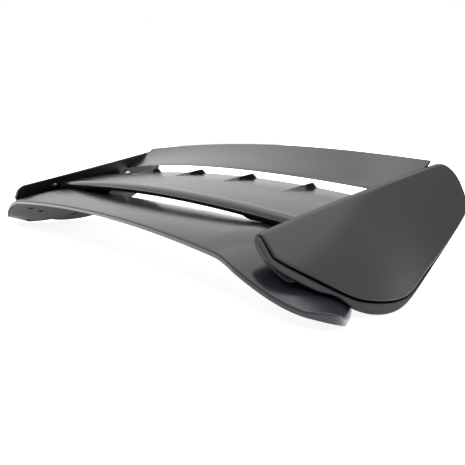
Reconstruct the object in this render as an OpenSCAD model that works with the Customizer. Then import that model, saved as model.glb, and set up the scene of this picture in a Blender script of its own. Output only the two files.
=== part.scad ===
// Three-deck roof spoiler for a hatchback's tailgate.
// A low deck carries a mid vane with four vortex fins and, between two canted
// end plates, an upper blade. Every skin is a loft: rows of section points are
// worked out by functions, then joined into one closed surface.
// +X is the car's left-to-right, +Y points rearward, +Z up. The origin lies under the
// middle of the spoiler's box, on the surface that it stands on. The functions below
// measure y from the deck's front edge, and placed() moves each piece to the origin.

/* [Overall] */
// Width of the upper blade, which the rest of the spoiler follows
blade_span = 940; // [780:10:1130]
// How far the deck reaches past the blade, each side
tip_reach = 147; // [122:1:177]
// From the deck's front edge to the middle of the blade's trailing edge
depth = 372; // [310:1:447]
// From the standing surface to the middle of the blade's trailing edge
height = 215; // [179:1:258]

/* [Deck] */
// Wall of the deck's moulding
deck_wall = 4; // [3.2:0.1:4.8]
// Height of the turned-down edge round the deck
deck_edge = 9; // [7.5:0.5:11]
// How far the deck's middle stands above the line between its two edges
deck_crown = 13; // [10:0.5:16]
// Thickness of the panel that closes the deck from below
panel_t = 3; // [2.5:0.1:3.6]

/* [Mid vane] */
// Thickness of the vane's rounded nose
nose_thick = 20; // [16:0.5:24]
// Wall of the hollow vane
vane_wall = 3; // [2.5:0.1:3.6]
// Distance from one vortex fin to the next
fin_pitch = 190; // [158:1:228]
// Height of a fin above the vane
fin_h = 9; // [7:0.5:11]
// Length of a fin along the airflow
fin_len = 84; // [70:1:100]

/* [Upper blade] */
// Greatest thickness of the blade
blade_thick = 8.5; // [7:0.5:10.5]
// How far the blade's face is dished between its two edges
blade_dish = 5; // [4:0.5:6]

/* [End plates] */
// Thickness of a plate near its top edge
plate_top_t = 11; // [9.5:0.5:13.5]
// Thickness of a plate lower down
plate_low_t = 20; // [17:0.5:24]
// Wall of the plate's two mouldings
plate_wall = 3.5; // [2.9:0.1:4.2]
// Width of the shadow groove between the two mouldings
groove = 2; // [1.6:0.1:2.4]

/* [Fixings] */
// Bore of the threaded inserts, for an M6 bolt
insert_bore = 5; // [4.2:0.1:6]
// Outer diameter of the inserts
insert_od = 9; // [7.5:0.1:10.8]
// Length of the inserts
insert_len = 12; // [10:0.5:14.5]
// Shank diameter of the screws
screw_d = 5; // [4.2:0.1:6]
// Head diameter of the screws
screw_head = 12; // [10:0.5:14.5]

/* [Hidden] */

half = blade_span / 2;
mid_y = 187.7 * depth / 372;
deck_half = half + tip_reach;
ky = depth / 372;
kz = height / 215;
seat = 0.2;
foot_seat = 0.6;
round_fn = 48;

// Plan and heights of the deck's two edges, for the middle and for the tip
front_rise_u = 1.05;
front_h = 94 * kz;
front_droop = 36 * kz;
rear_mid_y = 205 * ky;
rear_tip_y = 82 * ky;
rear_h = 91 * kz;
tip_u = deck_half / half;
tip_peak = 0.35;
tip_front = 14;
tip_sweep = 27;

module placed() { translate([0, -mid_y, 0]) children(); }

function mix(a, b, t) = a + (b - a) * t;
function smooth(a, b, x) = let (t = min(1, max(0, (x - a) / (b - a)))) t * t * (3 - 2 * t);
function arc_rise(x) = 1 - sqrt(max(0, 1 - min(1, x) * min(1, x)));
function reversed(list) = [for (i = [len(list) - 1 : -1 : 0]) list[i]];

// Deck surface: t runs from tip to tip (-1 to 1), v from the front edge to the rear
function front_y(u) = ky * (-14 * u * u + 41 * pow(max(0, u - front_rise_u) / 0.263, 1.5));
function front_z(u) = front_h - 16 * kz * u * u - front_droop * smooth(0.915, 1.277, u);
function rear_y(t) = mix(rear_mid_y, rear_tip_y, pow(abs(t), 7.4));
function rear_z(u) = let (drop = rear_h - deck_edge - 10 * kz * pow(tip_u, 2))
    rear_h - 10 * kz * u * u - drop * smooth(0.78, 1.3, u);
function deck_bump(u) = deck_crown * (1 + u * u) * (1 - 0.86 * smooth(0.8, 1.25, u));
function tip_x(v) = let (d = v < tip_peak ? (tip_peak - v) / tip_peak : (v - tip_peak) / (1 - tip_peak))
    deck_half - (v < tip_peak ? tip_front : tip_sweep) * d * d;
function deck_x(t, v) = t * tip_x(v);
function deck_y(t, v) = mix(front_y(abs(t) * tip_u), rear_y(t), v);
function deck_z(t, v) = let (u = abs(t) * tip_u)
    mix(front_z(u), rear_z(u), v) + deck_bump(u) * 4 * v * (1 - v);
function deck_v(t, y) = let (f = front_y(abs(t) * tip_u)) (y - f) / (rear_y(t) - f);
function deck_t(x, y) = let (v = deck_v(min(1, abs(x) / deck_half), y))
    min(1, abs(x) / tip_x(min(1, max(0, v))));

// Height of the deck's upper face over the point (x, y)
function deck_top(x, y) = let (t = deck_t(x, y)) deck_z(t, min(1, max(0, deck_v(t, y))));

// Joins rows of section points. Each row is an outer path and an inner path of equal
// length, walked out along one and back along the other. Both ends are closed.
// Away from the ends, the quads are split so that the left half mirrors the right half.
module loft(outer, inner, flip = false) {
    rows = len(outer);
    m = len(outer[0]);
    n = 2 * m;
    points = [for (i = [0 : rows - 1]) each concat(outer[i], reversed(inner[i]))];
    last = (rows - 1) * n;
    sides = [for (i = [0 : rows - 2], j = [0 : n - 1])
        let (k = (j + 1) % n, a = i * n + j, b = i * n + k, end = i < 3 || i > rows - 5)
        each (i < (rows - 1) / 2) == (j < m) && !end ? [[a, b, b + n], [a, b + n, a + n]]
            : [[a, b, a + n], [b, b + n, a + n]]];
    caps = [for (j = [0 : m - 2]) let (p = n - 1 - j)
        each [[j, p, j + 1], [j + 1, p, p - 1],
              [last + j, last + j + 1, last + p], [last + j + 1, last + p - 1, last + p]]];
    faces = concat(sides, caps);
    polyhedron(points = points, faces = flip ? [for (f = faces) reversed(f)] : faces, convexity = 8);
}

// The same for a tube that is open at both ends
module tube_loft(outer, inner) {
    rows = len(outer);
    n = len(outer[0]);
    points = concat([for (r = outer) each r], [for (r = inner) each r]);
    gap = rows * n;
    last = (rows - 1) * n;
    sides = [for (i = [0 : rows - 2], j = [0 : n - 1])
        let (k = (j + 1) % n, a = i * n + j, b = i * n + k)
        each i < (rows - 1) / 2
            ? [[a, b, b + n], [a, b + n, a + n],
               [a + gap, b + n + gap, b + gap], [a + gap, a + n + gap, b + n + gap]]
            : [[a, b, a + n], [b, b + n, a + n],
               [a + gap, a + n + gap, b + gap], [b + gap, a + n + gap, b + n + gap]]];
    ends = [for (j = [0 : n - 1]) let (k = (j + 1) % n)
        each [[j, j + gap, k], [k, j + gap, k + gap],
              [last + j, last + k, last + j + gap], [last + k, last + k + gap, last + j + gap]]];
    polyhedron(points = points, faces = concat(sides, ends), convexity = 8);
}

// Deck: an inverted tray with turned-down edges, closed at both tips
deck_v_steps = [0, 0.02, 0.09, 0.2, 0.32, 0.45, 0.58, 0.71, 0.84, 0.95, 0.99, 1];
deck_half_rows = 20;
deck_open_t = 0.984;
deck_rows = concat([-1, -0.992], [for (i = [-deck_half_rows : deck_half_rows])
    let (w = i / deck_half_rows) deck_open_t * w * (1.45 - 0.45 * abs(w))], [0.992, 1]);

function deck_point(t, v, z) = [deck_x(t, v), deck_y(t, v), z];
function deck_base(t, v) = let (u = abs(t) * tip_u) mix(front_z(u), rear_z(u), v) - deck_edge;
function deck_outer(t) = concat(
    [deck_point(t, 0, deck_base(t, 0))],
    [for (v = deck_v_steps) deck_point(t, v, deck_z(t, v) - (v == 0 || v == 1 ? 1.5 : 0))],
    [deck_point(t, 1, deck_base(t, 1))]);
function deck_inner(t) = let (
        span = rear_y(t) - front_y(abs(t) * tip_u), w = deck_wall / span,
        open = abs(t) <= deck_open_t + 0.001)
    concat([deck_point(t, w, deck_base(t, w))],
    [for (v = deck_v_steps) let (q = mix(w, 1 - w, v))
        deck_point(t, q, open ? deck_z(t, q) - deck_wall : deck_base(t, q))],
    [deck_point(t, 1 - w, deck_base(t, 1 - w))]);

insert_x = [-0.81, -0.32, 0.32, 0.81] * half;
insert_y = 110 * ky;
boss_d = 2 * insert_od + 2;
foot_screw_x = [0.83, 0.93] * half;
foot_screw_y = 140 * ky;
deck_screw_at = [[1.075 * half, 42 * ky], [1.115 * half, 72 * ky]];

// Lower end of a boss, just below the panel
function boss_low(x) = let (t = deck_t(x, insert_y)) deck_base(t, deck_v(t, insert_y)) - 2;

module deck_bosses() {
    for (x = insert_x) {
        low = boss_low(x);
        translate([x, insert_y, low])
            cylinder(h = deck_top(x, insert_y) - deck_wall / 2 - low, d = boss_d, $fn = round_fn);
    }
}

module deck() {
    placed() color([0.17, 0.17, 0.18])
    difference() {
        union() {
            loft([for (t = deck_rows) deck_outer(t)], [for (t = deck_rows) deck_inner(t)]);
            deck_bosses();
        }
        for (x = insert_x) {
            translate([x, insert_y, boss_low(x) - 1])
                cylinder(h = insert_len + 1, d = insert_od, $fn = round_fn);
        }
        for (side = [-1, 1], x = foot_screw_x) {
            translate([side * x, foot_screw_y, deck_top(x, foot_screw_y) - 20])
                cylinder(h = 40, d = screw_d, $fn = round_fn);
        }
        for (side = [-1, 1], p = deck_screw_at) {
            translate([side * p[0], p[1], deck_top(p[0], p[1]) - 20])
                cylinder(h = 40, d = screw_d, $fn = round_fn);
        }
    }
}

// Panel that closes the deck from below, with holes for the bosses
panel_v_steps = [0, 0.17, 0.33, 0.5, 0.67, 0.83, 1];
panel_rows = [for (i = [-18 : 18]) let (w = i / 18) (deck_open_t - 0.004) * w * (1.5 - 0.5 * abs(w))];
function panel_path(t, up) = let (
        w = (deck_wall + 0.6) / (rear_y(t) - front_y(abs(t) * tip_u)))
    [for (v = panel_v_steps) let (q = mix(w, 1 - w, v)) deck_point(t, q, deck_base(t, q) + up)];

module deck_panel() {
    placed() color([0.07, 0.07, 0.08])
    difference() {
        loft([for (t = panel_rows) panel_path(t, panel_t)], [for (t = panel_rows) panel_path(t, 0)]);
        for (x = insert_x) {
            translate([x, insert_y, 0]) cylinder(h = height, d = boss_d + 1, $fn = round_fn);
        }
        for (side = [-1, 1], x = foot_screw_x) {
            translate([side * x, foot_screw_y, 0]) cylinder(h = height, d = screw_head + 2, $fn = round_fn);
        }
        for (side = [-1, 1], p = deck_screw_at) {
            translate([side * p[0], p[1], 0]) cylinder(h = height, d = screw_head + 2, $fn = round_fn);
        }
    }
}

// End plates: outline in side view, cant in front view
plate_front_y = 8 * ky;
plate_rear_y = 391 * ky;
corner_y = 172 * ky;
corner_round = 28;
function plate_line_z(y) = kz * (112 + 0.229 * (y / ky - 21));
function plate_top_z(y) = plate_line_z(y)
    - 14 * kz * arc_rise(max(0, 1 - (y - plate_front_y) / (14 * ky)))
    - 34 * kz * arc_rise(max(0, 1 - (plate_rear_y - y) / (25 * ky)));
function plate_low_z(y) = let (d = (y - corner_y) / ky, a = -0.62 * d, b = 0.72 * d)
    kz * ((a + b) / 2 + sqrt(pow((a - b) / 2, 2) + pow(corner_round, 2)) - corner_round)
    + 8 * kz * arc_rise(max(0, 1 - (y - plate_front_y) / (8 * ky)))
    + 19 * kz * arc_rise(max(0, 1 - (plate_rear_y - y) / (14 * ky)));

// Distance of the plate's outer face from the middle of the spoiler
function plate_x(y, z) = let (h = (plate_line_z(y) - z) / kz, s = (y / ky - 280) / 260)
    half + 10 + 17 * s * s + (0.62 - 0.12 * y / (380 * ky)) * h;
function plate_t(y, z) = let (h = max(0, plate_line_z(y) - z))
    mix(plate_top_t, plate_low_t, min(1, h / (20 * kz)));
function plate_in_x(y, z) = plate_x(y, z) - plate_t(y, z);

// Lowest height of a plate's foot where it stands on the deck, and the same
// followed down to a given share of the canted plate's thickness
function foot_z(x, y) = let (t = deck_t(x, y))
    deck_v(t, y) < 1.18 && x < deck_half - 8 ? max(plate_low_z(y), deck_top(x, y) + foot_seat)
    : plate_low_z(y);

plate_rows_n = 26;
function plate_rows(y0, y1) = [for (i = [0 : plate_rows_n])
    mix(y0, y1, (1 - cos(180 * mix(0.02, 0.98, i / plate_rows_n))) / 2)];

// Section points of one moulding: [share of the height, mm off that height, share of the thickness]
function plate_point(side, y, low, high, p, roll = 0) = let (
        h = high - low, edge = min(1, h / 40),
        z = low + p[0] * h + p[1] * edge)
    [side * (plate_x(y, z) - p[2] * plate_t(y, z) - roll), y, z];

skin_outer = [[0, 0, 0.22], [0, 1.5, 0.06], [0, 6, 0], [0.3, 0, 0], [0.5, 0, 0], [0.7, 0, 0],
    [1, -6, 0], [1, -1.5, 0.06], [1, 0, 0.22]];
skin_inner = [[0, 0.5, 0.42], [0, plate_wall, 0.42], [0, plate_wall + 1.5, 0.2], [0.3, 0, 0.2], [0.5, 0, 0.2],
    [0.7, 0, 0.2], [1, -plate_wall - 1.5, 0.2], [1, -plate_wall, 0.42], [1, -0.5, 0.42]];
core_outer = [[0, 1, 0.54], [0, groove + 1, 0.54], [0, groove + 1.5, 0.43], [0, plate_wall + 6, 0.43],
    [0, plate_wall + 7, 0.8], [0.5, 0, 0.8],
    [1, -plate_wall - 4, 0.8], [1, -plate_wall - 3, 0.43], [1, -groove - 1.5, 0.43],
    [1, -groove - 1, 0.54], [1, -0.5, 0.54]];
core_inner = [[0, 0, 0.8], [0, 1, 0.95], [0, 3, 1], [0, 10, 1], [0.25, 0, 1], [0.5, 0, 1],
    [0.75, 0, 1], [1, -6, 1], [1, -3, 1], [1, -1, 0.96], [1, 0, 0.84]];

function skin_low(y) = core_low(y, 0.3, plate_low_z(y)) + mix(16, 6, smooth(120 * ky, 230 * ky, y));
function skin_path(side, y, path) = [for (p = path)
    plate_point(side, y, skin_low(y), plate_top_z(y), p)];
function core_low(y, share, z, n = 6) = n == 0 ? z
    : core_low(y, share, foot_z(plate_x(y, z) - share * plate_t(y, z), y), n - 1);
function core_path(side, y, path) = [for (p = path)
    plate_point(side, y, core_low(y, p[2], plate_low_z(y)), plate_top_z(y) - 0.5, p)];

module plate_skin(side) {
    rows = plate_rows(plate_front_y + 7 * ky, plate_rear_y);
    placed() color([0.22, 0.22, 0.23])
        loft([for (y = rows) skin_path(side, y, skin_outer)],
             [for (y = rows) skin_path(side, y, skin_inner)], side < 0);
}

// Screws that hold a core to its skin: [y, z] on the inner face
plate_screw_at = [[97 * ky, 110 * kz], [288 * ky, 135 * kz], [190 * ky, 34 * kz]];
cant = 60;

module plate_screw_places(side) {
    for (p = plate_screw_at) {
        translate([side * plate_in_x(p[0], p[1]), p[0], p[1]]) rotate([0, side * cant, 0]) children();
    }
}

module plate_core(side) {
    rows = plate_rows(plate_front_y, plate_rear_y - 2 * ky);
    placed() color([0.1, 0.1, 0.11])
    difference() {
        loft([for (y = rows) core_path(side, y, core_outer)],
             [for (y = rows) core_path(side, y, core_inner)], side < 0);
        plate_screw_places(side) translate([0, 0, -4]) cylinder(h = 16, d = screw_d, $fn = round_fn);
        for (p = deck_screw_at) {
            translate([side * p[0], p[1], 0])
                cylinder(h = deck_top(p[0], p[1]) + 14, d = screw_d, $fn = round_fn);
        }
        for (s = blade_screw_s) {
            blade_screw_place(side, s) translate([0, 0, -2]) cylinder(h = 30, d = 3, $fn = round_fn);
        }
    }
}

module left_plate_skin() { plate_skin(-1); }
module right_plate_skin() { plate_skin(1); }
module left_plate_core() { plate_core(-1); }
module right_plate_core() { plate_core(1); }

// Mid vane: rounded nose, thin trailing edge, moulded fins and a foot at each end
vane_half = half + 8;
foot_start = 0.71 * half;
foot_full = 0.79 * half;
foot_rear_y = 182 * ky;
fin_x = [for (i = [-1.5 : 1 : 1.5]) i * fin_pitch];
vane_steps = [0, 0.06, 0.16, 0.32, 0.5, 0.64, 0.76, 0.88, 0.95, 0.985, 1];
fin_flank = [-7, -2.2, -0.9, 0.9, 2.2, 7];
vane_grid = [for (i = [-6 : 6]) i / 6 * foot_start * 0.93];
function near_fin(x) = len([for (f = fin_x) if (abs(x - f) < 11) 1]) > 0;
vane_inner_rows = concat([for (x = vane_grid) if (!near_fin(x)) x],
    [for (f = fin_x, d = fin_flank) f + d],
    [for (s = [-1, 1], x = [foot_start, (foot_start + foot_full) / 2, foot_full]) s * x],
    [for (s = [-1, 1], i = [1 : 4]) s * mix(foot_full, vane_half, i / 5)]);
function sorted(list) = len(list) < 2 ? list : let (
        pivot = list[floor(len(list) / 2)])
    concat(sorted([for (x = list) if (x < pivot) x]), [pivot],
           sorted([for (x = list) if (x > pivot) x]));
vane_rows = concat([-vane_half], sorted(vane_inner_rows), [vane_half]);

function vane_nose_y(u) = ky * (105 + 3 * u * u);
function vane_nose_z(u) = kz * (128 - 19 * u * u);
function vane_te_y(u) = ky * (296.6 - 25 * u * u);
function vane_te_z(u) = kz * (153 - 18.4 * u * u);

// Height of a fin's ridge along the chord, on the fin's middle line
function fin_ridge(s) = let (from = 1 - fin_len / 186)
    fin_h * (s < 0.95 ? pow(max(0, (s - from) / (0.95 - from)), 1.25) : (1 - s) / 0.05);
function fin_share(x) = max([for (f = fin_x) let (d = abs(x - f))
    d < 1 ? 1 : d < 2.3 ? 0.42 : 0]);
function vane_upper_z(u, s) = let (r = nose_thick / 2, nz = vane_nose_z(u))
    s < 0.06 ? nz + r * sqrt(1 - pow(1 - s / 0.06, 2))
    : mix(nz + r, vane_te_z(u), (s - 0.06) / 0.94) + 3 * sin(180 * (s - 0.06) / 0.94);
function vane_lower_z(u, s) = let (r = nose_thick / 2, nz = vane_nose_z(u))
    s < 0.06 ? nz - r * sqrt(1 - pow(1 - s / 0.06, 2))
    : mix(nz - r, vane_te_z(u) - 3, pow((s - 0.06) / 0.94, 0.85));
function vane_y(u, s) = mix(vane_nose_y(u), vane_te_y(u), s);

// The last row follows the plate's inner face
function vane_place(x, y, z) = [abs(x) > vane_half - 1
    ? sign(x) * (plate_in_x(y, z) - seat) : x, y, z];
function vane_top_row(x) = let (u = abs(x) / half) [for (s = vane_steps)
    vane_place(x, vane_y(u, s), vane_upper_z(u, s) + fin_ridge(s) * fin_share(x))];
function vane_foot(x, y) = smooth(foot_start, foot_full, abs(x))
    * (1 - smooth(foot_rear_y, foot_rear_y + 22 * ky, y));
function vane_foot_z(x, y) = let (
        z = deck_top(vane_half, y), xx = abs(x) > vane_half - 1 ? plate_in_x(y, z) : abs(x))
    deck_top(xx, y) + foot_seat;
function vane_low_row(x) = let (u = abs(x) / half)
    [for (s = vane_steps) let (y = vane_y(u, s), z = vane_lower_z(u, s))
        vane_place(x, y, s < 0.03 ? z : mix(z, vane_foot_z(x, y), vane_foot(x, y)))];

// Inside of the vane: the outer section drawn in by the wall
function vane_in(x, up) = let (
        u = abs(x) / half, a = vane_nose_y(u) + vane_wall, b = vane_te_y(u) - 26 * ky)
    [for (s = vane_steps) let (
            y = mix(a, b, s), q = (y - vane_nose_y(u)) / (vane_te_y(u) - vane_nose_y(u)),
            top = vane_upper_z(u, q) - vane_wall,
            low = mix(vane_lower_z(u, q), vane_foot_z(x, y), vane_foot(x, y)) + vane_wall,
            mid = (top + low) / 2)
        vane_place(x, y, up > 0 ? max(top, mid + 0.2) : min(low, mid - 0.2))];

module mid_vane() {
    placed() color([0.2, 0.2, 0.22])
    difference() {
        union() {
            tube_loft([for (x = vane_rows) concat(vane_top_row(x), reversed(vane_low_row(x)))],
                      [for (x = vane_rows) concat(vane_in(x, 1), reversed(vane_in(x, -1)))]);
            for (side = [-1, 1], x = foot_screw_x) {
                translate([side * x, foot_screw_y, deck_top(x, foot_screw_y) + 2.5])
                    cylinder(h = 12, d = 2 * screw_d, $fn = round_fn);
            }
        }
        for (side = [-1, 1], x = foot_screw_x) {
            translate([side * x, foot_screw_y, deck_top(x, foot_screw_y) - 5])
                cylinder(h = 16, d = screw_d, $fn = round_fn);
        }
    }
}

// Upper blade: dished face, rounded leading edge, flat ends that lie against the plates
blade_steps = [0, 0.03, 0.1, 0.25, 0.42, 0.58, 0.74, 0.88, 0.97, 1];
blade_half_rows = 15;
blade_te_t = 3;
function blade_te_y(u) = ky * (372 - 12 * u * u);
function blade_te_z(u) = kz * (215 - 20 * u * u + 2 * pow(u, 4)) - blade_te_t / 2;
function blade_le_y(u) = ky * (260 + 27 * u * u);
function blade_le_z(u) = kz * (169.5 - 22 * u * u);
function blade_y(u, s) = mix(blade_le_y(u), blade_te_y(u), s);
function blade_mean_z(u, s) = mix(blade_le_z(u), blade_te_z(u), s) - blade_dish * 4 * s * (1 - s);
function blade_body(s) = sqrt(s) * (1 - s) * 2.6 * (blade_thick - blade_te_t) / 2 + s * blade_te_t / 2;
function blade_end_x(y, z) = z < plate_top_z(y) - 3 ? plate_in_x(y, z) - seat : half;
function blade_row(x, up) = let (u = abs(x) / half) [for (s = blade_steps) let (
        y = blade_y(u, s) - up * 0.35 * blade_body(s),
        z = blade_mean_z(u, s) + up * blade_body(s) + up * (s == 0 ? 0.6 : 0),
        xx = abs(x) > half - 1 ? sign(x) * blade_end_x(y, z) : x)
    [xx, y, z]];
blade_rows = [for (i = [-blade_half_rows : blade_half_rows]) half * i / blade_half_rows];
blade_screw_s = [0.22, 0.5];

module blade_screw_place(side, s) {
    y = blade_y(1, s);
    z = blade_mean_z(1, s);
    translate([side * plate_in_x(y, z), y, z]) rotate([0, side * 90, 0]) children();
}

module upper_blade() {
    placed() color([0.24, 0.24, 0.26])
    difference() {
        loft([for (x = blade_rows) blade_row(x, 1)], [for (x = blade_rows) blade_row(x, -1)]);
        for (side = [-1, 1], s = blade_screw_s) {
            blade_screw_place(side, s) translate([0, 0, -17]) cylinder(h = 30, d = 3, $fn = round_fn);
        }
    }
}

// Fixings
module threaded_inserts() {
    placed() color([0.7, 0.58, 0.32])
    for (x = insert_x) {
        translate([x, insert_y, boss_low(x)])
        difference() {
            cylinder(h = insert_len, d = insert_od, $fn = round_fn);
            translate([0, 0, -1]) cylinder(h = insert_len + 2, d = insert_bore, $fn = round_fn);
        }
    }
}

// A screw that points up, with its head's upper face at z = 0
module screw(length, shank, head) {
    cylinder(h = length, d = shank, $fn = round_fn);
    translate([0, 0, -0.28 * head]) cylinder(h = 0.28 * head, d = head, $fn = round_fn);
}

module vane_screws() {
    placed() color([0.6, 0.6, 0.62])
    for (side = [-1, 1], x = foot_screw_x) {
        translate([side * x, foot_screw_y, deck_top(x, foot_screw_y) - deck_wall - 4.2])
            screw(16, screw_d, screw_head);
    }
}

module blade_screws() {
    placed() color([0.6, 0.6, 0.62])
    for (side = [-1, 1], s = blade_screw_s) {
        blade_screw_place(side, s) translate([0, 0, 8.2]) mirror([0, 0, 1]) screw(24, 3, 6);
    }
}

module plate_screws() {
    placed() color([0.75, 0.75, 0.77])
    for (side = [-1, 1]) {
        plate_screw_places(side) translate([0, 0, -0.8]) screw(7, screw_d, screw_head + 2);
    }
}

module deck_screws() {
    placed() color([0.6, 0.6, 0.62])
    for (side = [-1, 1], p = deck_screw_at) {
        translate([side * p[0], p[1], deck_top(p[0], p[1]) - deck_wall - 4.2])
            screw(15, screw_d, screw_head);
    }
}

deck();
deck_panel();
mid_vane();
upper_blade();
left_plate_skin();
right_plate_skin();
left_plate_core();
right_plate_core();
threaded_inserts();
vane_screws();
blade_screws();
plate_screws();
deck_screws();
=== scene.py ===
# %% [markdown]
# # A three-deck tailgate spoiler
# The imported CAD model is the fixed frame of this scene: it says where every piece is
# and how big it may be. The CAD pieces are faceted, because their job is mass and
# collision. The large mouldings are therefore drawn here again as smooth surfaces, from
# the same rules, and so are the screws that hold the plates and their feet. The CAD's
# inserts and its vane and blade screws stay as they are.

import math

import bmesh
import bpy
import numpy as np
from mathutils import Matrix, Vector


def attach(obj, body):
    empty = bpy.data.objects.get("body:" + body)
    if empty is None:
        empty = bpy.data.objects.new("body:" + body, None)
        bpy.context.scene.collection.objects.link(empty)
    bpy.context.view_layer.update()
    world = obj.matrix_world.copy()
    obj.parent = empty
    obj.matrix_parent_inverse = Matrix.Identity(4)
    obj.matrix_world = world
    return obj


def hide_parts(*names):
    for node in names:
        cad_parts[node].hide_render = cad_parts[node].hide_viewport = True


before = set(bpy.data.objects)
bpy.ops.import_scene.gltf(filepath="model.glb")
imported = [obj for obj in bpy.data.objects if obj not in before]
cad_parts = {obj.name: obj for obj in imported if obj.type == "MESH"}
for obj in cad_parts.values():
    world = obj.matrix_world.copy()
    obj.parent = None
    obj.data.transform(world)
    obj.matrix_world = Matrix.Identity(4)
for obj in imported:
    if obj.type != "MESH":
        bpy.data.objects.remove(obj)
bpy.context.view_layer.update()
scene = bpy.context.scene
MM = 0.001

# %% [markdown]
# The camera comes first, because every later choice is judged through it. A long
# product has strong perspective, so the lens matters as much as the place. The near end
# plate and the far one are the same shape, and only one place and one focal length
# show both at their right sizes.

# %% Camera
eye = bpy.data.cameras.new("product_camera")
eye.sensor_width = 36
eye.lens = 55.74
camera = bpy.data.objects.new("product_camera", eye)
scene.collection.objects.link(camera)
camera.location = (1.2365, -0.6985, 0.2407)
camera.rotation_euler = (math.radians(90 - 7.99), 0, math.radians(56.70))
eye.clip_start, eye.clip_end = 0.01, 50
scene.camera = camera
print("camera at", tuple(camera.location), "lens", eye.lens)

# %% [markdown]
# Node trees read badly when each Math node is made by hand. The class below wraps one
# socket, so that sums and products of sockets can be written as Python expressions.
# The same class serves the materials and the geometry tree of the upper blade.

# %% A socket that can be calculated with
class Sig:
    """One output socket, or a plain number, in a node tree."""

    def __init__(self, tree, out):
        self.tree, self.out = tree, out

    @staticmethod
    def plug(tree, socket, value):
        if isinstance(value, Sig):
            tree.links.new(value.out, socket)
        else:
            socket.default_value = value

    def make(self, kind, settings=None, inputs=None, result=0):
        """Adds any node: its type, its settings, and values or links for its sockets."""
        node = self.tree.nodes.new(kind)
        for name, value in (settings or {}).items():
            setattr(node, name, value)
        for key, value in (inputs or {}).items():
            self.plug(self.tree, node.inputs[key], value)
        return Sig(self.tree, node.outputs[result])

    def math(self, operation, *values, clamp=False):
        settings = {"operation": operation, "use_clamp": clamp}
        return self.make("ShaderNodeMath", settings, dict(enumerate(values)))

    def __add__(self, o): return self.math("ADD", self, o)
    def __radd__(self, o): return self.math("ADD", o, self)
    def __sub__(self, o): return self.math("SUBTRACT", self, o)
    def __rsub__(self, o): return self.math("SUBTRACT", o, self)
    def __mul__(self, o): return self.math("MULTIPLY", self, o)
    def __rmul__(self, o): return self.math("MULTIPLY", o, self)
    def __truediv__(self, o): return self.math("DIVIDE", self, o)
    def __rtruediv__(self, o): return self.math("DIVIDE", o, self)

    def clamp(self):
        return self.math("ADD", self, 0.0, clamp=True)

    def ramp(self, low, high):
        """0 at low, 1 at high, smooth between."""
        return self.make("ShaderNodeMapRange", {"interpolation_type": "SMOOTHSTEP"},
                         {0: self, 1: low, 2: high, 3: 0.0, 4: 1.0})

    def blend(self, a, b):
        """Colour a where this is 0 and colour b where it is 1."""
        return self.make("ShaderNodeMix", {"data_type": "RGBA"}, {0: self, 6: a, 7: b}, 2)

print("node maths is ready")

# %% [markdown]
# The visible mouldings are satin black plastic. Real satin paint or moulded-in colour
# isn't even: the gloss varies slowly over a hand's width, and a very fine orange peel
# breaks up the reflections. The inner mouldings are duller. The vane's faces that point
# down get a darker, rougher black that hardly shines: painted shade under the vane, on
# the mould's raw face. All patterns read Object coordinates, so they stay put on the
# piece from every side.

# %% Satin black plastic and its relatives
def start_material(name):
    material = bpy.data.materials.new(name)
    material.use_nodes = True
    tree = material.node_tree
    shader = tree.nodes["Principled BSDF"]
    place = Sig(tree, tree.nodes.new("ShaderNodeTexCoord").outputs["Object"])
    return material, tree, shader, place


def noise(place, scale, detail=2.0, roughness=0.5):
    return place.make("ShaderNodeTexNoise", {}, {"Vector": place, "Scale": scale,
                      "Detail": detail, "Roughness": roughness})


def satin_plastic(name, dark, light, gloss, grain, peel, sheen=0.5):
    """Moulded plastic: colour range, roughness, grain size per metre and its bump."""
    material, tree, shader, place = start_material(name)
    cloud = noise(place, 9.0, 3.0)
    fine = noise(place, grain, 2.0)
    wave = noise(place, 140.0, 1.0)
    tone = (cloud * 0.7 + fine * 0.3).ramp(0.3, 0.7)
    Sig.plug(tree, shader.inputs["Base Color"], tone.blend(dark, light))
    rough = gloss + (cloud - 0.5) * 0.10 + (fine - 0.5) * 0.06
    Sig.plug(tree, shader.inputs["Roughness"], rough)
    height = fine * peel + wave * (peel * 1.4)
    bump = height.make("ShaderNodeBump", {}, {"Strength": 0.25, "Distance": 0.0004,
                       "Height": height}, "Normal")
    Sig.plug(tree, shader.inputs["Normal"], bump)
    shader.inputs["IOR"].default_value = 1.5
    shader.inputs["Specular IOR Level"].default_value = sheen
    return material


body_black = satin_plastic("satin_black_plastic", (0.011, 0.011, 0.013, 1),
                           (0.016, 0.015, 0.019, 1), 0.17, 1900.0, 0.35)
inner_black = satin_plastic("black_plastic_inner", (0.010, 0.010, 0.011, 1),
                            (0.018, 0.018, 0.019, 1), 0.48, 900.0, 1.0)
# Darker and duller, with almost no shine: painted shade for faces that point down, on the mould's
# rough raw face.
underside_shade_black = satin_plastic("painted_shade_underside", (0.008, 0.008, 0.009, 1),
                          (0.014, 0.014, 0.015, 1), 0.62, 700.0, 1.0, sheen=0.04)
print("materials:", body_black.name, inner_black.name, underside_shade_black.name)

# %% [markdown]
# Small metal parts keep their CAD shape. Zinc plate is bright but cloudy, and turned
# brass is warmer and smoother, with fine lathe rings, so each gets its own nodes.

# %% Metals for the fixings
def plated_metal(name, dark, light, gloss, streak):
    material, tree, shader, place = start_material(name)
    cloud = noise(place, 220.0, 3.0)
    lines = noise(place, streak, 1.0)
    Sig.plug(tree, shader.inputs["Base Color"], cloud.ramp(0.3, 0.7).blend(dark, light))
    Sig.plug(tree, shader.inputs["Roughness"], gloss + (lines - 0.5) * 0.2)
    bump = lines.make("ShaderNodeBump", {}, {"Strength": 0.2, "Distance": 0.0001,
                      "Height": lines}, "Normal")
    Sig.plug(tree, shader.inputs["Normal"], bump)
    shader.inputs["Metallic"].default_value = 1.0
    return material


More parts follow.
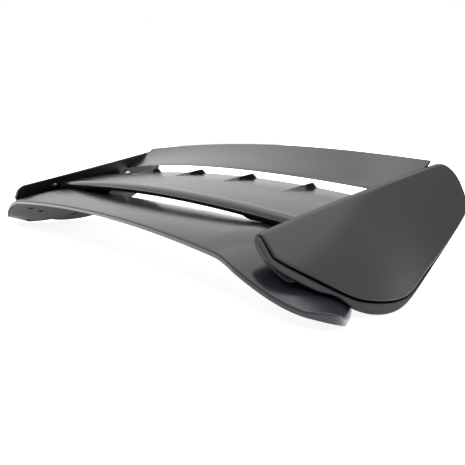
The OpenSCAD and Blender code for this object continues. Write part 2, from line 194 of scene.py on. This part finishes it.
zinc = plated_metal("zinc_steel", (0.42, 0.42, 0.44, 1), (0.58, 0.58, 0.60, 1), 0.38, 2500.0)
brass = plated_metal("brass", (0.52, 0.38, 0.16, 1), (0.68, 0.52, 0.26, 1), 0.30, 3500.0)
for node, metal in (("threaded_inserts", brass), ("vane_screws", zinc), ("blade_screws", zinc)):
    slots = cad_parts[node].data.materials
    slots.clear()
    slots.append(metal)
print("metal on the fixings that keep their CAD shape")

# %% [markdown]
# The shape rules follow the CAD source, in millimetres, with y counted from the deck's
# front edge. Some of their numbers differ a little, for the look. One set of plain
# functions gives every height and width, so pieces that meet share one rule.

# %% Sizes and the shape of the deck
HALF, DECK_HALF, MID_Y, LIFT = 470.0, 616.8, 187.7, 8.5
TIP_U = DECK_HALF / HALF
DECK_EDGE, DECK_CROWN, TOP_H, REAR_H = 7.0, 13.0, 86.5, 82.5


def mix(a, b, t):
    return a + (b - a) * t


def smooth(a, b, x):
    t = np.clip((x - a) / (b - a), 0, 1)
    return t * t * (3 - 2 * t)


def front_y(u):
    return -14 * u * u + 41 * (np.maximum(0, u - 1.05) / 0.29) ** 1.5


def front_z(u):
    return TOP_H - 15 * u * u - 37.5 * smooth(0.94, 1.32, u)


def rear_y(t):
    return mix(205.0, 66.0, np.abs(t) ** 6.06)


def rear_z(u):
    drop = REAR_H - DECK_EDGE - 10 * TIP_U ** 2
    return REAR_H - 10 * u * u - drop * smooth(0.83, 1.31, u)


def tip_x(v):
    d = (v - 0.5) / 0.5
    return DECK_HALF - np.where(v < 0.5, 18.0, 10.0) * d * d


def deck_z(t, v):
    u = np.abs(t) * TIP_U
    bump = DECK_CROWN * (1 + u * u) * (1 - 0.86 * smooth(0.8, 1.25, u))
    return mix(front_z(u), rear_z(u), v) + bump * 4 * v * (1 - v)


def deck_top(x, y):
    """Height of the deck's upper face over (x, y)."""
    t = np.minimum(1, np.abs(x) / DECK_HALF)
    for _ in range(2):
        f = front_y(t * TIP_U)
        v = np.clip((y - f) / (rear_y(t) - f), 0, 1)
        t = np.minimum(1, np.abs(x) / tip_x(v))
    return deck_z(t, v)


print("deck height over its middle:", round(float(deck_top(0.0, 110.0)), 1), "mm")

# %% [markdown]
# A moulding is a skin over rows of section points. One helper joins the rows into quads,
# closes the ends, turns the faces outwards and shades everything smooth except where
# two faces meet at a sharp angle.

# %% From rows of points to a finished piece
def make_piece(name, verts, faces, material, nodes, sharp=38, shade_below=False):
    """A mesh in the row frame from points in mm, standing for the given CAD nodes."""
    mesh = bpy.data.meshes.new(name)
    points = (np.asarray(verts, float) - (0, MID_Y, -LIFT)) * MM
    mesh.from_pydata(points.tolist(), [], faces)
    bm = bmesh.new()
    bm.from_mesh(mesh)
    bmesh.ops.remove_doubles(bm, verts=bm.verts, dist=2e-6)
    bmesh.ops.recalc_face_normals(bm, faces=bm.faces)
    for face in bm.faces:
        face.smooth = True
    bm.to_mesh(mesh)
    bm.free()
    mesh.set_sharp_from_angle(angle=math.radians(sharp))
    mesh.materials.append(material)
    # Faces that point down take the darker black: painted shade under the piece.
    if shade_below:
        mesh.materials.append(underside_shade_black)
        for face in mesh.polygons:
            face.material_index = int(face.normal.z < -0.2)
    piece = bpy.data.objects.new(name, mesh)
    scene.collection.objects.link(piece)
    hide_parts(*nodes)
    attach(piece, "root")
    print(name, "has", sum(len(p.vertices) - 2 for p in mesh.polygons), "triangles")
    return piece


def skin_over(rows):
    """Quads over rows of closed sections, all with the same number of points."""
    n = len(rows[0])
    faces = []
    for a in range(0, (len(rows) - 1) * n, n):
        b = a + n
        for j in range(n):
            k = (j + 1) % n
            faces.append((a + j, a + k, b + k, b + j))
    return np.concatenate(rows), faces


def closed_skin(rows, ladder=False):
    """The same with both ends shut: by one face, or by quads across a thin section."""
    verts, faces = skin_over(rows)
    n = len(rows[0])
    for base in (0, (len(rows) - 1) * n):
        if ladder:
            faces += [(base + j, base + j + 1, base + n - 2 - j, base + n - 1 - j)
                      for j in range(n // 2 - 1)]
        else:
            faces.append(tuple(range(base, base + n)))
    return verts, faces


print("helpers ready")

# %% [markdown]
# The deck is an inverted tray. What the eye reads is its upper face, the soft edge all
# round it and the turned-down rim. Its inside is shut off by a panel, so only the recess
# for that panel is drawn. The edge's radius is made by lowering the face near the rim
# along a quarter circle, with the rows packed closely there.

# %% Deck
EDGE_R, RIM_WALL, PANEL_SEAT, TIP_WALL = 2.6, 4.0, 3.0, 12.0


def edge_steps(length, radius, count):
    """Distances from one rim to the other, close together at both rims."""
    a = radius * (1 - np.cos(np.linspace(0, math.pi / 2, 7)))
    inner = np.linspace(radius, length - radius, count)[1:-1]
    return np.concatenate([a, inner, length - a[::-1]])


def rim_drop(d, r):
    q = np.clip(1 - d / r, 0, 1)
    return r * (1 - np.sqrt(np.maximum(0, 1 - q * q)))


def deck_row(x_share):
    t = np.full(1, x_share)
    u = abs(x_share) * TIP_U
    span = float(rear_y(t)[0] - front_y(np.array([u]))[0])
    v = edge_steps(span, EDGE_R, 64) / span
    y = mix(front_y(np.full(v.shape, u)), rear_y(t), v)
    x = x_share * tip_x(v)
    to_tip = (1 - abs(x_share)) * DECK_HALF
    drop = rim_drop(np.minimum(np.minimum(v * span, (1 - v) * span), to_tip), EDGE_R)
    top = np.stack([x, y, deck_z(np.full(v.shape, x_share), v) - drop], 1)
    base = mix(float(front_z(np.array(u))), float(rear_z(np.array(u))), v) - DECK_EDGE
    low = top.copy()
    low[:, 2] = np.minimum(base, top[:, 2] - 0.5)
    rim = np.clip(np.minimum(v, 1 - v) * span / RIM_WALL, 0, 1)
    low[:, 2] += np.where(rim >= 1, PANEL_SEAT, 0.0) * (to_tip > TIP_WALL)
    return np.concatenate([top, low[::-1]])


edge = 1 - EDGE_R * (1 - np.cos(np.linspace(0, math.pi / 2, 7))) / DECK_HALF
inner = np.linspace(0, edge[-1], 130)
inner = inner[:-1] * (1.35 - 0.35 * inner[:-1] / edge[-1])
half_rows = np.concatenate([inner, edge[::-1]])
shares = np.concatenate([-half_rows[:0:-1], half_rows])
verts, faces = closed_skin([deck_row(s) for s in shares], ladder=True)
make_piece("deck_skin", verts, faces, body_black, ["deck"])

# %% [markdown]
# A thin panel, curved like the deck's lower edge, closes it from below. It lets the four
# bosses and the screws' heads through, so it is drawn as a plain sheet first and then
# drilled, with one Boolean cut for each size of hole.

# %% Panel under the deck
PANEL_T, PANEL_INSET, PANEL_END = 2.5, 4.6, 0.975
BOSS_HOLE_R, SCREW_HOLE_R = 10.5, 7.0


def deck_base(share, v):
    u = np.abs(share) * TIP_U
    return mix(front_z(u), rear_z(u), v) - DECK_EDGE


def drilled(sheet, holes, radius):
    """The sheet after an exact cut with upright cylinders, as a plain mesh."""
    bm = bmesh.new()
    for x, y in holes:
        made = bmesh.ops.create_cone(bm, cap_ends=True, segments=40, radius1=radius,
                                     radius2=radius, depth=0.3)
        bmesh.ops.translate(bm, verts=made["verts"], vec=(x * MM, (y - MID_Y) * MM, 0.06))
    cutter_mesh = bpy.data.meshes.new("drill")
    bm.to_mesh(cutter_mesh)
    bm.free()
    cutter = bpy.data.objects.new("drill", cutter_mesh)
    scene.collection.objects.link(cutter)
    cut = sheet.modifiers.new("drill", "BOOLEAN")
    cut.object, cut.solver = cutter, "EXACT"
    bpy.context.view_layer.update()
    evaluated = sheet.evaluated_get(bpy.context.evaluated_depsgraph_get())
    done = bpy.data.meshes.new_from_object(evaluated)
    sheet.modifiers.clear()
    sheet.data = done
    bpy.data.objects.remove(cutter)


def sheet_row(share):
    t = np.full(1, share)
    span = float(rear_y(t)[0] - front_y(np.array([abs(share) * TIP_U]))[0])
    v = np.linspace(PANEL_INSET / span, 1 - PANEL_INSET / span, 24)
    x, y = share * tip_x(v), mix(front_y(np.full(v.shape, abs(share) * TIP_U)), rear_y(t), v)
    low = np.stack([x, y, deck_base(np.full(v.shape, share), v)], 1)
    return np.concatenate([low + (0, 0, PANEL_T), low[::-1]])


shares = np.linspace(-PANEL_END, PANEL_END, 151)
verts, faces = closed_skin([sheet_row(s) for s in shares], ladder=True)
panel = make_piece("deck_panel_smooth", verts, faces, inner_black,
                   ["deck_panel"])
INSERTS = [(side * x, 110.0) for side in (-1, 1) for x in (150.4, 380.7)]
VANE_SCREWS = [(side * x, 140.0) for side in (-1, 1) for x in (390.1, 437.1)]
DECK_SCREWS = [(side * x, y) for side in (-1, 1) for x, y in ((505.25, 42.0), (524.05, 72.0))]
drilled(panel, INSERTS, BOSS_HOLE_R * MM)
drilled(panel, VANE_SCREWS + DECK_SCREWS, SCREW_HOLE_R * MM)
print("panel has", len(panel.data.polygons), "faces after drilling")

# %% [markdown]
# The plates' feet are screwed on from below. A screw is a turned shape: a flat head and a
# round shank. The same profile serves the screws on the plates' inner faces.

# %% Screws
def turned(profile, place, axis, count=32):
    """A closed lathe shape: profile of (radius, height) along an axis at a place."""
    axis = np.asarray(axis, float) / np.linalg.norm(axis)
    side = np.cross(axis, (0.0, 1.0, 0.0))
    side /= np.linalg.norm(side)
    up = np.cross(axis, side)
    angle = np.linspace(0, 2 * math.pi, count, endpoint=False)[:, None]
    ring = np.cos(angle) * side + np.sin(angle) * up
    return [np.asarray(place) + max(rad, 0.02) * ring + high * axis for rad, high in profile]


def screws(name, node, spots, head, shank, length, thick):
    verts, faces = [], []
    for place, axis in spots:
        profile = [(0, -thick), (head * 0.86, -thick), (head, 0.3 - thick),
                   (head, -0.3), (head - 0.3, 0), (shank, 0), (shank, length - 0.5),
                   (shank - 0.5, length), (0, length)]
        points, quads = skin_over(turned(profile, place, axis))
        faces += [tuple(i + sum(len(v) for v in verts) for i in quad) for quad in quads]
        verts.append(points)
    make_piece(name, np.concatenate(verts), faces, zinc, [node])


HEAD_DEPTH = 8.2
below = [((x, y, float(deck_top(np.array(abs(x)), np.array(y))) - HEAD_DEPTH), (0, 0, 1))
         for x, y in DECK_SCREWS]
screws("deck_screws_turned", "deck_screws", below, 6.0, 2.5, 7.0, 3.4)

# %% [markdown]
# The end plates lean outwards and bow a little along the car. Vane and blade end against
# them, so their faces are needed first, as plain functions: the line of their top edge,
# the outer face's distance from the middle, and their thickness.

# %% Where the plates' faces lie
PLATE_H, PLATE_RISE, PLATE_Y = 103.5, 0.229, 21.0
CANT, CANT_MORE, CANT_Y, CANT_LENGTH = 0.45, 0.55, 200.0, 45.0
BOW, BOW_Y, BOW_LENGTH, STAND_OFF = 17.0, 280.0, 260.0, 10.0
PLATE_THIN, PLATE_THICK, THIN_DEPTH = 11.0, 20.0, 20.0


def plate_line(y):
    return PLATE_H + PLATE_RISE * (y - PLATE_Y)


def plate_x(y, z, bulge=0.0):
    """Outer face of a plate, with a shallow bulge that only its visible face has."""
    s = (y - BOW_Y) / BOW_LENGTH
    slope = CANT + CANT_MORE / (1 + np.exp((y - CANT_Y) / CANT_LENGTH))
    q = np.clip((plate_line(y) - z) / 125, 0, 1)
    face = HALF + STAND_OFF + BOW * s * s + slope * (plate_line(y) - z)
    return face + bulge * 4 * q * (1 - q)


def plate_t(y, z):
    return mix(PLATE_THIN, PLATE_THICK, np.clip((plate_line(y) - z) / THIN_DEPTH, 0, 1))


print("plate's outer face at its top:", round(float(plate_x(200.0, plate_line(200.0))), 1), "mm")

# %% [markdown]
# Four vortex fins are moulded on the vane, so they are part of the same surface: a narrow
# ridge is added to the height of its upper face. One function gives the ridge's section
# across the fin, and another its height along the chord, rising slowly and ending steeply.

# %% Fins
FINS = np.array([-285.0, -95.0, 95.0, 285.0])
FIN_H, FIN_W, FIN_REACH = 9.0, 2.4, 8.0
FIN_START, FIN_PEAK, FIN_BACK = 1 - 84 / 186, 0.95, 0.05


def fin_share(x):
    d = np.min(np.abs(np.asarray(x)[..., None] - FINS), -1)
    shape = 1 / (1 + (np.maximum(0, d - 0.5) / FIN_W) ** 2.0)
    tail = 1 / (1 + (FIN_REACH / FIN_W) ** 2.0)
    return np.clip((shape - tail) / (1 - tail), 0, 1)


def fin_ridge(s):
    climb = np.clip((s - FIN_START) / (FIN_PEAK - FIN_START), 0, 1) ** 1.25
    return FIN_H * np.where(s < FIN_PEAK, climb, np.clip((1 - s) / FIN_BACK, 0, 1))


print(len(FINS), "fins,", FIN_H, "mm high")

# %% [markdown]
# The mid vane is one thick aerofoil with a rounded nose. It is a skin over sections like
# the deck, with the rows packed closely around each fin. Towards its ends the lower face
# comes down to stand on the deck, and the last rows fan out to the plates.

# %% Mid vane
VANE_HALF, FOOT_START, FOOT_FULL = HALF + 8, 0.655 * HALF, 0.73 * HALF
FOOT_BACK = (174, 196)
NOSE, NOSE_R, TRAIL_R = 0.10, 10.0, 1.4


def vane_fan(x, y, z):
    """Towards each end the rows fan out until the last one lies against the plate."""
    w = max(0.0, (abs(x) - FOOT_FULL) / (VANE_HALF - FOOT_FULL))
    return abs(x) + w * (plate_x(y, z) - plate_t(y, z) - 0.3 - VANE_HALF)


def vane_row(x):
    u = abs(x) / HALF
    nose_y, nose_z = 105 + 3 * u * u, 119.5 - 19 * u * u
    te_y, te_z = 296.6 - 25 * u * u, 144.5 - 18.4 * u * u
    turn = np.linspace(0, math.pi / 2, 12)
    s = np.concatenate([NOSE * (1 - np.cos(turn)), np.linspace(NOSE, 0.54, 18)[1:],
                        np.linspace(0.54, 1, 34)[1:]])
    q = np.clip((s - NOSE) / (1 - NOSE), 0, 1)
    round_nose = NOSE_R * np.sqrt(np.maximum(0, 1 - np.clip(1 - s / NOSE, 0, 1) ** 2))
    y = mix(nose_y, te_y, s)
    back = mix(nose_z + NOSE_R, te_z, q) + 3 * np.sin(np.pi * q)
    up = np.where(s < NOSE, nose_z + round_nose, back)
    belly = mix(nose_z - NOSE_R, te_z - 3, q ** 0.85)
    down = np.where(s < NOSE, nose_z - round_nose, belly)
    soft = np.clip((1 - s) * (te_y - nose_y) / TRAIL_R, 0, 1)
    close = TRAIL_R * (1 - np.sqrt(soft * (2 - soft)))
    up = up - close + fin_ridge(s) * fin_share(np.array(x))
    down = down + close
    foot = smooth(FOOT_START, FOOT_FULL, abs(x)) * (1 - smooth(*FOOT_BACK, y))
    floor = np.full(y.shape, 60.0)
    for _ in range(6):
        floor = deck_top(vane_fan(x, y, floor), y) + 0.7
    down = np.where(s < 0.03, down, mix(down, floor, foot))
    top = np.stack([np.sign(x) * vane_fan(x, y, up), y, up], 1)
    low = np.stack([np.sign(x) * vane_fan(x, y, down), y, down], 1)
    return np.concatenate([top, low[-2:0:-1]])


near = np.concatenate([f + np.linspace(-9, 9, 31) for f in FINS])
wide = np.linspace(-VANE_HALF, VANE_HALF, 170)
wide = wide[np.min(np.abs(wide[:, None] - FINS), 1) > 9.5]
rows = [vane_row(x) for x in np.sort(np.concatenate([near, wide]))]
verts, faces = closed_skin(rows)
# The faces that point down get the darker black, as painted shade under the vane.
make_piece("mid_vane_skin", verts, faces, body_black, ["mid_vane"],
           shade_below=True)

# %% [markdown]
# The upper blade follows a rule from end to end: short polynomials give its leading and
# trailing edges, and one formula gives the section. That is work for Geometry Nodes. A
# flat grid is rolled round the section, one direction along the span and the other round
# the profile, by setting the position of each of its points.

# %% Upper blade as a geometry tree
tree = bpy.data.node_groups.new("blade_rule", "GeometryNodeTree")
tree.interface.new_socket("Geometry", in_out="OUTPUT", socket_type="NodeSocketGeometry")
for label, value in (("Half span", HALF), ("Thickness", 8.5), ("Edge", 3.0), ("Dish", 5.0)):
    socket = tree.interface.new_socket(label, in_out="INPUT", socket_type="NodeSocketFloat")
    socket.default_value = value
tree.interface.new_socket("Material", in_out="INPUT", socket_type="NodeSocketMaterial")
inputs = tree.nodes.new("NodeGroupInput")
given = {s.name: Sig(tree, s) for s in inputs.outputs if s.name}
half_span, thickness = given["Half span"], given["Thickness"]
edge_t, dish = given["Edge"], given["Dish"]
grid = half_span.make("GeometryNodeMeshGrid", {}, {"Size X": 2.0, "Size Y": 1.0,
                      "Vertices X": 181, "Vertices Y": 141}, "Mesh")
here = half_span.make("GeometryNodeInputPosition")
split = here.make("ShaderNodeSeparateXYZ", {}, {0: here})
u = split
turn = (Sig(tree, split.out.node.outputs["Y"]) + 0.5) * (2 * math.pi)
uu = u * u
s = (1.0 - turn.math("COSINE", turn)) * 0.5
side = turn.math("SIGN", turn.math("SINE", turn))
blunt = (((1.0 - s) * 112.0) / (edge_t * 0.5)).clamp()
blunt = turn.math("SQRT", blunt * (2.0 - blunt))
body = (turn.math("SQRT", s.clamp()) * (1.0 - s) * 1.3 * (thickness - edge_t)
        + s * edge_t * 0.5 * blunt)
le_y, te_y = 260.0 + 27.0 * uu, 372.0 - 12.0 * uu
le_z, te_z = 161.0 - 22.0 * uu, 206.5 - 20.0 * uu + 2.0 * uu * uu - edge_t * 0.5
y = le_y + (te_y - le_y) * s - side * body * 0.35
z = le_z + (te_z - le_z) * s - dish * 4.0 * s * (1.0 - s) + side * body
depth = PLATE_H + PLATE_RISE * (y - PLATE_Y) - z
lean = CANT + CANT_MORE / (1.0 + y.math("EXPONENT", (y - CANT_Y) / CANT_LENGTH))
bow = (y - BOW_Y) / BOW_LENGTH
wall = PLATE_THIN + (PLATE_THICK - PLATE_THIN) * (depth / THIN_DEPTH).clamp()
face_x = half_span + STAND_OFF + BOW * bow * bow + lean * depth - wall - 0.3
under = depth.ramp(1.0, 6.0)
end_x = half_span + (face_x - half_span) * under
near_end = u.math("ABSOLUTE", u).ramp(0.97, 1.0)
x = u * (half_span + (end_x - half_span) * near_end)
place = x.make("ShaderNodeCombineXYZ", {}, {0: x * MM, 1: (y - MID_Y) * MM, 2: (z + LIFT) * MM})
moved = x.make("GeometryNodeSetPosition", {}, {"Geometry": grid, "Position": place})
joined = x.make("GeometryNodeMergeByDistance", {}, {"Geometry": moved, "Distance": 2e-6})
real = x.make("GeometryNodeRealizeInstances", {}, {"Geometry": joined})
dressed = x.make("GeometryNodeSetMaterial", {}, {"Geometry": real, "Material": given["Material"]})
output = tree.nodes.new("NodeGroupOutput")
tree.links.new(dressed.out, output.inputs[0])
print("blade tree has", len(tree.nodes), "nodes")

# %% [markdown]
# The export needs plain meshes, without live modifiers. The tree is therefore run once on
# an empty carrier, its result is copied into a mesh, and the open ends of the tube are
# filled before its faces are turned outwards.

# %% Run the tree and keep its result as a plain mesh
carrier = bpy.data.objects.new("blade_carrier", bpy.data.meshes.new("blade_carrier"))
scene.collection.objects.link(carrier)
rule = carrier.modifiers.new("rule", "NODES")
rule.node_group = tree
for item in tree.interface.items_tree:
    if item.in_out == "INPUT" and item.socket_type == "NodeSocketMaterial":
        rule[item.identifier] = body_black
bpy.context.view_layer.update()
evaluated = carrier.evaluated_get(bpy.context.evaluated_depsgraph_get())
mesh = bpy.data.meshes.new_from_object(evaluated)
bpy.data.objects.remove(carrier)
bm = bmesh.new()
bm.from_mesh(mesh)
bmesh.ops.holes_fill(bm, edges=[e for e in bm.edges if e.is_boundary], sides=0)
bmesh.ops.recalc_face_normals(bm, faces=bm.faces)
for face in bm.faces:
    face.smooth = True
bm.to_mesh(mesh)
bm.free()
mesh.name = "upper_blade_skin"
mesh.set_sharp_from_angle(angle=math.radians(40))
blade = bpy.data.objects.new("upper_blade_skin", mesh)
scene.collection.objects.link(blade)
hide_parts("upper_blade")
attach(blade, "root")
print("blade spans", round(blade.dimensions.x * 1000, 1), "mm")

# %% [markdown]
# Each end plate is two mouldings: an outer skin and an inner core, with a shadow groove
# between them. Both are drawn as rings. The outline is walked once, each ring is that
# outline moved inwards, and the last rings shrink to one point. A border, a rolled
# edge or a groove is then only a matter of how deep each ring lies.

# %% Outlines of the end plates
FRONT, REAR, FACE_BULGE = 8.0, 390.6, 9.0


def rise(a):
    a = np.clip(a, 0, 1)
    return 1 - np.sqrt(np.maximum(0, 1 - a * a))


def plate_top(y):
    return plate_line(y) - 14 * rise(1 - (y - FRONT) / 14) - 34 * rise(1 - (REAR - y) / 25)


def plate_low(y):
    d = y - 101
    a, b = -0.639 * d, -0.196 * d + 0.00195 * np.maximum(0, d) ** 2
    low = 9.8 + (a + b) / 2 + np.sqrt(((a - b) / 2) ** 2 + 5.2 ** 2) - 5.2
    return low + 9 * rise(1 - (y - FRONT) / 26) + 19 * rise(1 - (REAR - y) / 14)


def skin_low(y):
    return plate_low(y) + mix(16.0, 6.0, smooth(120, 230, y))


def plate_foot(y, share, lift):
    """The deck's surface under a plate, turning into the plate's own edge behind it."""
    z = plate_low(y)
    for _ in range(7):
        x = plate_x(y, z) - share * plate_t(y, z)
        t = np.minimum(1, x / DECK_HALF)
        f = front_y(t * TIP_U)
        behind = smooth(1, 1.16, (y - f) / (rear_y(t) - f))
        z = mix(deck_top(x, y) + lift, plate_low(y), behind)
    return z


def outer_low(y):
    """The flange's lower edge, lifted a little where it passes over the deck."""
    return plate_low(y) + 7 * smooth(48, 80, y) * (1 - smooth(78, 100, y))


def inner_low(y):
    return mix(plate_low(y), plate_foot(y, 0.9, 0.8), smooth(FRONT, FRONT + 22, y))


print("plates from y =", FRONT, "to", REAR, "mm")

# %% [markdown]
# With the curves known, an outline is a closed loop of points, close together at both
# ends where it turns. Every ring of a plate is such a loop, moved inwards by a distance.

# %% Loops of points
def outline(y0, y1, top, low, count=150, ends=13):
    """The closed outline between two curves, walked along the top and back below."""
    y = mix(y0, y1, (1 - np.cos(np.linspace(0, np.pi, count))) / 2)
    up = np.stack([y, top(y)], 1)
    down = np.stack([y, low(y)], 1)[::-1]
    def bridge(a, b):
        return a + (b - a) * np.linspace(0, 1, ends + 2)[1:-1, None]
    return np.concatenate([up, bridge(up[-1], down[0]), down, bridge(down[-1], up[0])])


def inward(line, distance):
    """The outline moved towards its inside, in mm."""
    step = np.roll(line, -2, 0) - np.roll(line, 2, 0)
    normal = np.stack([step[:, 1], -step[:, 0]], 1)
    normal /= np.linalg.norm(normal, axis=1)[:, None] + 1e-9
    return line + normal * np.asarray(distance)[..., None]


def towards(a, b, distance, limit):
    """Points of outline a moved towards outline b, at most the given part of the way."""
    gap = np.linalg.norm(b - a, axis=1)[:, None] + 1e-6
    return a + (b - a) * np.minimum(distance / gap, limit)


skin_line = outline(FRONT + 10, REAR - 0.01, plate_top, skin_low)
core_line = outline(FRONT, REAR - 2, lambda y: plate_top(y) - 0.5, outer_low)
foot_line = outline(FRONT, REAR - 2, lambda y: plate_top(y) - 0.5, inner_low)
nearest = np.linalg.norm(core_line[:, None] - skin_line[None], axis=2).argmin(1)
border = skin_line[nearest]
print("skin outline", len(skin_line), "points, core outline", len(core_line))

# %% [markdown]
# Three screws on each inner face hold a plate's two mouldings together. Their heads sit
# square to the leaning face, so each axis follows the slope of the plate at its place.

# %% Screws on the plates' inner faces
spots = []
for side in (-1, 1):
    for y, z in ((97.0, 101.5), (288.0, 126.5), (165.0, 40.0)):
        slope = CANT + CANT_MORE / (1 + math.exp((y - CANT_Y) / CANT_LENGTH))
        axis = np.array([side, 0, slope]) / math.hypot(1, slope)
        seat = np.array([side * float(plate_x(y, z) - plate_t(y, z)), y, z])
        spots.append((seat - axis * 0.6, axis))
screws("plate_screws_turned", "plate_screws", spots, 7.0, 2.5, 6.0, 3.6)

# %% [markdown]
# Each ring now gets a depth, as a share of the plate's thickness from its outer face. The
# skin has a rolled edge, and the core starts behind it, so a thin shadow line stays open
# between them. Below, the core's loop changes to one that follows the deck.

# %% End plates
arc = np.linspace(0, math.pi / 2, 7)


def fan(line, f):
    """The outline shrunk towards a point well inside it."""
    middle = np.array([235.0, 105.0])
    return middle + (line - middle) * f


def plate_piece(node, side, rings, material):
    """rings: (outline, share of the plate's thickness from its outer face)."""
    inner = np.linspace(0.02, 1, 26)[:-1]
    rings = ([(fan(rings[0][0], f), rings[0][1]) for f in inner] + rings
             + [(fan(rings[-1][0], f), rings[-1][1]) for f in inner[::-1]])
    loops = []
    for line, share in rings:
        y, z = line[:, 0], line[:, 1]
        outer = plate_x(y, z, FACE_BULGE * np.clip(1 - share / 0.5, 0, 1))
        loops.append(np.stack([side * (outer - share * plate_t(y, z)), y, z], 1))
    verts, faces = closed_skin(loops)
    make_piece(node + "_smooth", verts, faces, material, [node], sharp=50)


skin_rings = ([(inward(skin_line, 7.0), 0.0), (inward(skin_line, 5.0), 0.0)]
              + [(inward(skin_line, 3.4 * (1 - math.sin(a))), 0.17 * (1 - math.cos(a)))
                 for a in arc]
              + [(skin_line, 0.3), (inward(skin_line, 0.3), 0.39), (inward(skin_line, 1.2), 0.41),
                 (inward(skin_line, 4.0), 0.41), (inward(skin_line, 4.6), 0.3)])
room = np.linalg.norm(border - core_line, axis=1)
flange = mix(0.54, 0.12, smooth(2.5, 6.0, room))
core_rings = [(inward(border, 5.5), 0.8), (inward(border, 5.0), 0.45), (border, 0.45),
              (towards(border, core_line, 2.2, 0.55), 0.45),
              (towards(border, core_line, 2.5, 0.57), flange + 0.02),
              (towards(border, core_line, 3.0, 0.6), flange)]
core_rings += [(towards(core_line, border, 2.4 * (1 - math.sin(a)), 0.3),
                flange + 0.14 * (1 - math.cos(a)))
               for a in arc]
thin = 0.42 * np.clip((plate_line(foot_line[:, 0]) - foot_line[:, 1]) / 30, 0, 1)
core_rings += [(core_line, np.maximum(flange, 0.36)), (foot_line, 0.82 - thin)]
core_rings += [(inward(foot_line, 2.4 * (1 - math.cos(a))), 0.86 + 0.14 * math.sin(a) - thin)
               for a in arc]
core_rings += [(inward(foot_line, d), 1 - thin * (1 - smooth(2.4, 26, d)))
               for d in (8.0, 14.0, 20.0, 26.0)]
for side, word in ((-1, "left"), (1, "right")):
    plate_piece(word + "_plate_skin", side, skin_rings, body_black)
    plate_piece(word + "_plate_core", side, core_rings, inner_black)

# %% [markdown]
# A dark, satin product is drawn by what it reflects. The camera and every mirrored ray
# see the same plain white background, so the upper faces look pale where they are seen
# at a shallow angle and the plates, seen squarely, stay dark. The light that falls on the
# spoiler comes from a sky that is brighter behind it and high above, and from one broad
# softbox. Light Path tells the two kinds of rays apart.

# %% Rays that show the background
def background_rays(tree):
    """1 for the rays that show the white background, 0 for those that only light."""
    rays = tree.nodes.new("ShaderNodeLightPath")
    kinds = [Sig(tree, rays.outputs[kind + " Ray"])
             for kind in ("Is Camera", "Is Glossy", "Is Transmission")]
    return (kinds[0] + kinds[1] + kinds[2]).clamp()


print("background rays are told apart")

# %% [markdown]
# The floor is pale paper. It keeps the spoiler's soft shadow, and an even glow, seen only
# by the rays above, lifts it to white and lets it meet the backdrop without a line.

# %% Floor
floor_mesh = bpy.data.meshes.new("studio_floor")
floor_mesh.from_pydata([(-9, -9, 0), (9, -9, 0), (9, 9, 0), (-9, 9, 0)], [], [(0, 1, 2, 3)])
floor = bpy.data.objects.new("studio_floor", floor_mesh)
floor.location.z = (LIFT - 0.6) * MM
scene.collection.objects.link(floor)
paper = bpy.data.materials.new("pale_paper")
paper.use_nodes = True
tree = paper.node_tree
shader = tree.nodes["Principled BSDF"]
seen = background_rays(tree)
shader.inputs["Base Color"].default_value = (0.7, 0.7, 0.7, 1)
shader.inputs["Roughness"].default_value = 0.9
shader.inputs["Specular IOR Level"].default_value = 0.0
shader.inputs["Emission Color"].default_value = (1, 1, 1, 1)
place = Sig(tree, tree.nodes.new("ShaderNodeTexCoord").outputs["Object"])
away = place.make("ShaderNodeVectorMath", {"operation": "LENGTH"}, {0: place}, "Value")
Sig.plug(tree, shader.inputs["Emission Strength"], seen * (0.88 + away.ramp(0.6, 1.6)))
floor_mesh.materials.append(paper)
print("floor at z =", round(floor.location.z * 1000, 1), "mm")

# %% [markdown]
# The sky is plain white where it is seen. For the rays that only light, it is dim all
# round and has two bright parts, which a dot product and the height set.

# %% Sky
world = bpy.data.worlds.new("studio")
scene.world = world
world.use_nodes = True
tree = world.node_tree
back = tree.nodes["Background"]
seen = background_rays(tree)
direction = Sig(tree, tree.nodes.new("ShaderNodeTexCoord").outputs["Generated"])
behind = direction.make("ShaderNodeVectorMath", {"operation": "DOT_PRODUCT"},
                        {0: direction, 1: (-0.63, 0.77, 0.10)}, "Value")
high = Sig(tree, direction.make("ShaderNodeSeparateXYZ", {}, {0: direction}).out.node.outputs["Z"])
band = 0.70 + high.ramp(0.15, 0.30) * 0.30
DIM, BEHIND_GLOW, HIGH_GLOW = 0.11, 2.15, 2.5
glow = DIM + behind.ramp(0.35, 0.90) * band * BEHIND_GLOW + high.ramp(0.54, 0.92) * HIGH_GLOW
Sig.plug(tree, back.inputs["Color"], seen.blend((0.92, 0.88, 1.0, 1), (1, 1, 1, 1)))
Sig.plug(tree, back.inputs["Strength"], seen + (1.0 - seen) * glow)
print("sky has", len(tree.nodes), "nodes")

# %% [markdown]
# One broad area lamp overhead stands for a softbox. Its size keeps the shadow soft.

# %% Softbox
def softbox(name, place, target, size, power):
    lamp = bpy.data.lights.new(name, "AREA")
    lamp.shape = "RECTANGLE"
    lamp.size, lamp.size_y = size
    lamp.energy = power
    box = bpy.data.objects.new(name, lamp)
    scene.collection.objects.link(box)
    box.location = place
    look = Vector(target) - Vector(place)
    box.rotation_euler = look.to_track_quat("-Z", "Y").to_euler()
    return box


softbox("overhead_softbox", (-0.3, 0.5, 2.3), (0, 0, 0.1), (3.0, 2.0), 14)
scene.view_settings.view_transform = "Standard"
print("lights placed")
